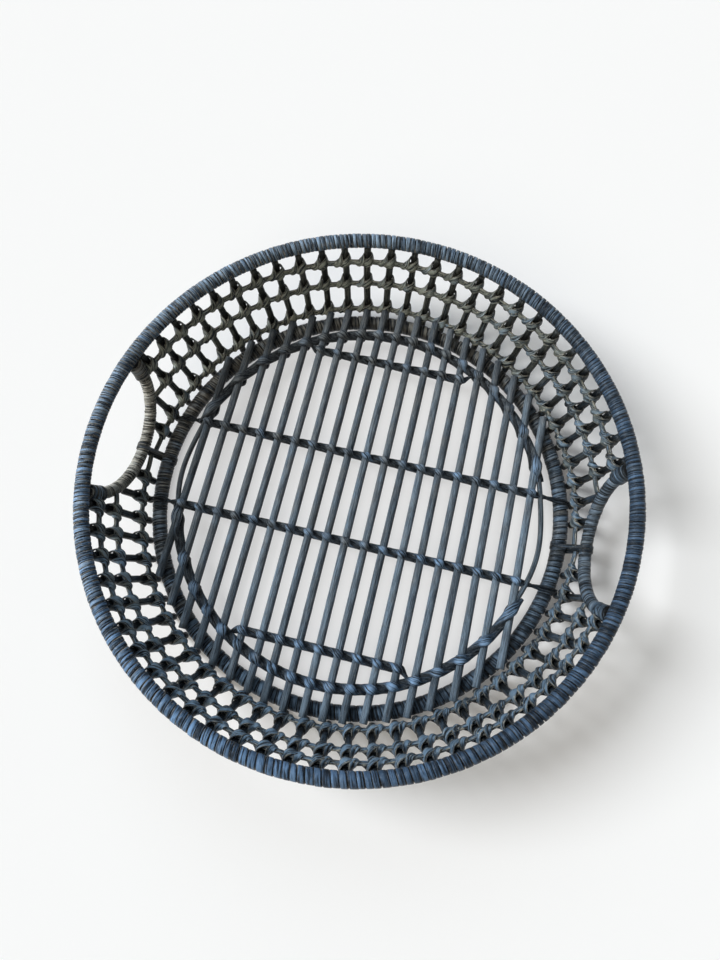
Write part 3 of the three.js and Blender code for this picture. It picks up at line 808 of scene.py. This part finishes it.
# The strip that knots a row's carrier to a stake, seen from inside the tray: across to the right, up the
# wall and towards the viewer from the stake's middle, then the way that the strip's flat face looks, and
# last its width there as a share of the usual one.
KNOT_ROUTE = np.array([
    [-8.4, -1.2, 5.6, 0.0, 0.2, 1.0, 0.75],
    [-5.8, 0.5, 5.4, -0.2, 0.3, 0.95, 0.85],
    [-4.2, 2.4, 2.8, -0.75, 0.5, 0.45, 0.9],
    [-2.9, 3.6, -1.6, -0.7, 0.35, -0.65, 0.75],
    [0.0, 4.0, -3.3, 0.0, 0.2, -1.0, 0.65],
    [2.9, 3.8, -1.9, 0.75, 0.3, -0.65, 0.7],
    [3.9, 3.3, 0.8, 0.97, 0.25, 0.1, 0.8],
    [3.5, 2.2, 3.8, 0.6, 0.1, 0.8, 0.95],
    [1.3, 0.4, 6.0, 0.12, 0.2, 1.0, 1.0],
    [-1.6, -1.5, 6.2, -0.05, 0.15, 1.0, 1.0],
    [-4.0, -3.1, 5.3, -0.2, -0.5, 0.85, 0.85],
    [-4.6, -3.7, 2.8, -0.35, -0.9, 0.05, 0.7],
    [-3.0, -3.2, -1.2, -0.5, -0.5, -0.7, 0.65],
    [0.0, -2.6, -3.3, 0.0, 0.0, -1.0, 0.65],
    [3.2, -2.4, -1.5, 0.55, -0.35, -0.75, 0.65],
    [5.6, -2.7, 2.0, 0.75, -0.5, 0.4, 0.65],
])

stake_count = sum(STAKES_PER_PANEL)
stake_arc = math.pi - 2 * FIRST_STAKE_ANGLE
stake_angles = FIRST_STAKE_ANGLE + stake_arc * np.arange(stake_count) / (stake_count - 1)


def from_handle(angle):
    """The angle to the middle of the nearer handle."""
    return np.minimum(angle, math.pi - angle)


def clear_of_bow(points):
    gaps = np.linalg.norm(points[:, None] - bow_points[None], axis=2)
    return gaps.min(1) > BOW_THICKNESS / 2


def stake_top(angle):
    """The height at which a stake meets the rim, or the bow above it."""
    heights = np.arange(wall_foot_z, wall_top_z, STAKE_SEARCH)
    blocked = ~clear_of_bow(wall_point(from_handle(angle), heights))
    return heights[blocked.argmax()] if blocked.any() else wall_top_z


def wall_stakes(side, turned):
    """The stakes of half the wall, one piece for each panel."""
    first = 0
    for panel, count in enumerate(STAKES_PER_PANEL):
        bodies = []
        for angle in stake_angles[first : first + count]:
            heights = np.linspace(wall_foot_z, stake_top(angle), STAKE_RINGS)
            sway = STAKE_SWAY * np.sin(heights / STAKE_SWAY_LENGTH + wave_start())
            path = wall_point(angle + sway, heights)
            facing = np.repeat(wall_inward(angle)[None], len(path), 0)
            if turned:
                path, facing = half_turn(path), half_turn(facing)
            width = STAKE_DIAMETER * random.uniform(*STAKE_WIDTHS)
            # painted shade in the hollow just above each row
            above = [(heights - row - HOLLOW_RISE) / HOLLOW_SPAN for row in ROW_HEIGHTS[side].values()]
            hollow_shade = HOLLOW_SHADE * np.exp(-np.square(above)).sum(0)
            tone = np.clip(random.uniform(*STAKE_TONES) - hollow_shade, 0, 1)
            bodies.append(sweep(path, facing, width, STAKE_DIAMETER, flatness=NEARLY_ROUND, tone=tone))
        name = f"wall_stakes_{side}_{panel + 1}"
        add_piece(f"stakes_{side}_{panel + 1}", bodies, stake_cane, "wall_cane", name)
        first += count


def row_reach(z):
    """The angle from a handle's middle at which a row at this height meets the bow, or the tie under it."""
    angles = np.arange(math.pi / 2, 0, -ROW_SEARCH)
    points = wall_point(angles, z) + wall_inward(angles) * CARRIER_OUT
    free = clear_of_bow(points) & (angles > TIE_TURNS * TIE_STRIP / 2 / wall_radius(z))
    return angles[(~free).argmax() - 1]


def on_wall(angle, z, across, up, towards):
    """A point from its place on the wall as the viewer inside sees it. The viewer's right is clockwise."""
    moved = angle - across / wall_radius(z)
    return wall_point(moved, z) + wall_slope(moved) * up + wall_inward(moved) * towards


def carrier_line(held, reach, z):
    """A row's carrier, which droops a little between stakes: its points, and the way that its face looks."""
    angles = np.concatenate([[math.pi - reach], held, [reach]])
    halves = np.arange(2 * len(angles) - 1)
    with_betweens = np.interp(halves / 2, np.arange(len(angles)), angles)
    droop = np.where(halves % 2, -CARRIER_DROOP, 0.0)
    line = smooth_line(spread(with_betweens, droop), CARRIER_STEPS)
    return on_wall(line[:, 0], z, 0, line[:, 1][:, None], CARRIER_OUT), wall_inward(line[:, 0])


def knot_line(held, z):
    """The strip that knots a row to each stake: its points, and the ways that its face looks."""
    route = []
    looks = []
    for angle in held:
        strays = random.normal(0, KNOT_STRAY, (len(KNOT_ROUTE), 3))
        for (across, up, towards, *look, _), stray in zip(KNOT_ROUTE, strays):
            moved = angle - (across + stray[0]) / wall_radius(z)
            route.append(on_wall(angle, z, across + stray[0], up + stray[1], towards + abs(stray[2])))
            right = -spread(-math.sin(moved), math.cos(moved), 0)
            looks.append(right * look[0] + wall_slope(moved) * look[1] + wall_inward(moved) * look[2])
    return smooth_line(route, KNOT_STEPS), smooth_line(looks, KNOT_STEPS)


def knotted_row(level, side, turned):
    """A wall row: a carrier strand inside the stakes, and the strip that knots it to each of them."""
    z = ROW_HEIGHTS[side][level]
    reach = row_reach(z)
    held = stake_angles[from_handle(stake_angles) > reach + KNOT_ROOM / wall_radius(z)][::-1]
    path, facing = carrier_line(held, reach, z)
    strip, strip_facing = knot_line(held, z)
    strip_width = smooth_line(np.tile(KNOT_ROUTE[:, -1:], (len(held), 1)), KNOT_STEPS)[:, 0] * KNOT_WIDTH
    if turned:
        path, facing, strip, strip_facing = (half_turn(p) for p in (path, facing, strip, strip_facing))
    # painted light and shade: paler where the strip stands out in front, darker where it runs behind the
    # stake
    raised = KNOT_PAINTED_DEPTH_LIGHT * KNOT_ROUTE[:, 2] / KNOT_ROUTE[:, 2].max()
    tone = random.uniform(*KNOT_TONES, len(held))[:, None] + raised[None, :]
    tone = np.clip(smooth_line(tone.reshape(-1, 1), KNOT_STEPS)[:, 0], 0, 1)
    carrier_body = sweep(path, facing, CARRIER_WIDTH, CARRIER_THICKNESS, flatness=CARRIER_FLATNESS,
                         tone=CARRIER_TONE, wear=CARRIER_WEAR)
    strip_body = sweep(strip, strip_facing, strip_width, KNOT_THICKNESS, tone=tone, wear=KNOT_WEAR * tone)
    add_piece(f"carrier_{level}_{side}", [carrier_body], wall_cane, "wall_cane", f"wall_row_{level}_{side}")
    add_piece(f"knots_{level}_{side}", [strip_body], wall_cane, "wall_cane")


for side, turned in (("back", False), ("front", True)):
    wall_stakes(side, turned)
    for level in ROW_HEIGHTS[side]:
        knotted_row(level, side, turned)


# Floor, light and camera

FLOOR_SIZE = 8  # m
FLOOR_WHITE = 0.96
FLOOR_GLOW = 0.08  # share of the floor's white that is seen in the shadow too
FLOOR_PAINTED_LIGHT_INSIDE = 0.55  # painted light: the same share under the tray's floor, which lifts its shadow there
FLOOR_BOUNCE = 0.2  # of the light on the floor that it throws back at the tray
CEILING = (0.2, 0.6)  # sines of the elevations between which the walls become the ceiling
CEILING_WHITE = 0.3
ROOM_LIGHT = 0.08  # strength of the even light from all round
NOT_A_LIGHT = (0, 0.3, 1)  # a direction that none of the lights comes from

# The way to each light, its width in degrees, its strength and its colour
LIGHTS = {
    "key": ((-1.0, 0.03, 0.84), 28, 3.1, (0.96, 0.98, 1.0)),
    "fill": ((-0.3, -0.8, 0.8), 40, 0.85, (1.0, 0.9, 0.74)),
    "back": ((-0.4, 0.85, 0.75), 40, 0.7, (0.78, 0.9, 1.0)),
}


def seen_rays(tree):
    """1 for what the camera sees, straight or in a reflection, and 0 for the light on the object."""
    rays = node(tree, "ShaderNodeLightPath").outputs
    seen = maths(tree, "MAXIMUM", rays["Is Camera Ray"], rays["Is Glossy Ray"])
    return maths(tree, "MAXIMUM", seen, rays["Is Transmission Ray"])


def floor():
    """White paper that keeps the tray's shadow, with painted light under the tray's own floor that softens
    it.
    """
    mesh = bpy.data.meshes.new("floor")
    half = FLOOR_SIZE / 2
    corners = [(-half, -half, 0), (half, -half, 0), (half, half, 0), (-half, half, 0)]
    mesh.from_pydata(corners, [], [(0, 1, 2, 3)])
    made = bpy.data.objects.new("floor", mesh)
    bpy.context.scene.collection.objects.link(made)
    material = bpy.data.materials.new("floor")
    material.use_nodes = True
    tree = material.node_tree
    white = (FLOOR_WHITE, FLOOR_WHITE, FLOOR_WHITE, 1)
    paper = tree.nodes["Principled BSDF"]
    seen = seen_rays(tree)
    thrown = (FLOOR_BOUNCE, FLOOR_BOUNCE, FLOOR_BOUNCE, 1)
    tree.links.new(mixed(tree, seen, thrown, white), paper.inputs["Base Color"])
    paper.inputs["Roughness"].default_value = 1
    paper.inputs["Specular IOR Level"].default_value = 0
    glow = node(tree, "ShaderNodeEmission", {"Color": white, "Strength": 1})
    place = node(tree, "ShaderNodeTexCoord").outputs["Object"]
    away = node(tree, "ShaderNodeVectorMath", {0: place}, operation="LENGTH").outputs["Value"]
    inner, outer = (base_radius - BASE_THICKNESS) * MM, (base_radius + BASE_THICKNESS) * MM
    # painted light: more of the floor's white under the tray, which softens the tray's shadow there
    glow_and_painted_light = ramp(tree, away, inner, outer, FLOOR_PAINTED_LIGHT_INSIDE, FLOOR_GLOW)
    share = maths(tree, "MULTIPLY", seen, glow_and_painted_light)
    shaders = {0: share, 1: paper.outputs["BSDF"], 2: glow.outputs["Emission"]}
    both = node(tree, "ShaderNodeMixShader", shaders)
    tree.links.new(both.outputs["Shader"], tree.nodes["Material Output"].inputs["Surface"])
    mesh.materials.append(material)


def sun(name, towards, width, strength, colour):
    """A soft light from far off in the direction `towards`, as wide as `width` in degrees."""
    light = bpy.data.lights.new(name, "SUN")
    light.angle = math.radians(width)
    light.energy = strength
    light.color = colour
    made = bpy.data.objects.new(name, light)
    bpy.context.scene.collection.objects.link(made)
    back = unit(np.array([towards], float))[0]
    right = unit(np.cross([NOT_A_LIGHT], back[None]))[0]
    turned = np.eye(4)
    turned[:3, :3] = np.stack([right, np.cross(back, right), back], 1)
    made.matrix_world = Matrix(turned.tolist())


def world(strength):
    """Even light on the object and white to look at, with a darker ceiling in the reflections."""
    made = bpy.data.worlds.new("world")
    bpy.context.scene.world = made
    made.use_nodes = True
    tree = made.node_tree
    way = node(tree, "ShaderNodeTexCoord").outputs["Generated"]
    height = node(tree, "ShaderNodeSeparateXYZ", {"Vector": way}).outputs["Z"]
    camera = node(tree, "ShaderNodeLightPath").outputs["Is Camera Ray"]
    shown = maths(tree, "MAXIMUM", camera, ramp(tree, height, *CEILING, 1, CEILING_WHITE))
    inputs = {"Value": seen_rays(tree), "To Min": strength, "To Max": shown}
    level = node(tree, "ShaderNodeMapRange", inputs)
    background = tree.nodes["Background"]
    background.inputs["Color"].default_value = (FLOOR_WHITE, FLOOR_WHITE, FLOOR_WHITE, 1)
    tree.links.new(level.outputs["Result"], background.inputs["Strength"])


def photograph_camera():
    """The camera in the place, and with the lens, that the photograph's perspective gives."""
    azimuth, elevation, roll = CAMERA_AZIMUTH, CAMERA_ELEVATION, CAMERA_ROLL
    back = np.array([math.sin(azimuth) * math.cos(elevation), -math.cos(azimuth) * math.cos(elevation),
                     math.sin(elevation)])
    level = np.array([math.cos(azimuth), math.sin(azimuth), 0])
    upright = np.cross(back, level)
    right = math.cos(roll) * level + math.sin(roll) * upright
    up = -math.sin(roll) * level + math.cos(roll) * upright
    data = bpy.data.cameras.new("camera")
    data.sensor_width = SENSOR
    data.lens = CAMERA_FOCUS_PIXELS / PICTURE_HEIGHT_PIXELS * SENSOR
    data.clip_start = CLIP_START
    made = bpy.data.objects.new("camera", data)
    bpy.context.scene.collection.objects.link(made)
    turned = np.eye(4)
    turned[:3, :3] = np.stack([right, up, back], 1)
    turned[:3, 3] = (np.array(CAMERA_TARGET) + back * CAMERA_DISTANCE) * MM
    made.matrix_world = Matrix(turned.tolist())
    bpy.context.scene.camera = made


floor()
for name, light in LIGHTS.items():
    sun(name, *light)
world(ROOM_LIGHT)
photograph_camera()
bpy.context.scene.view_settings.view_transform = "Standard"
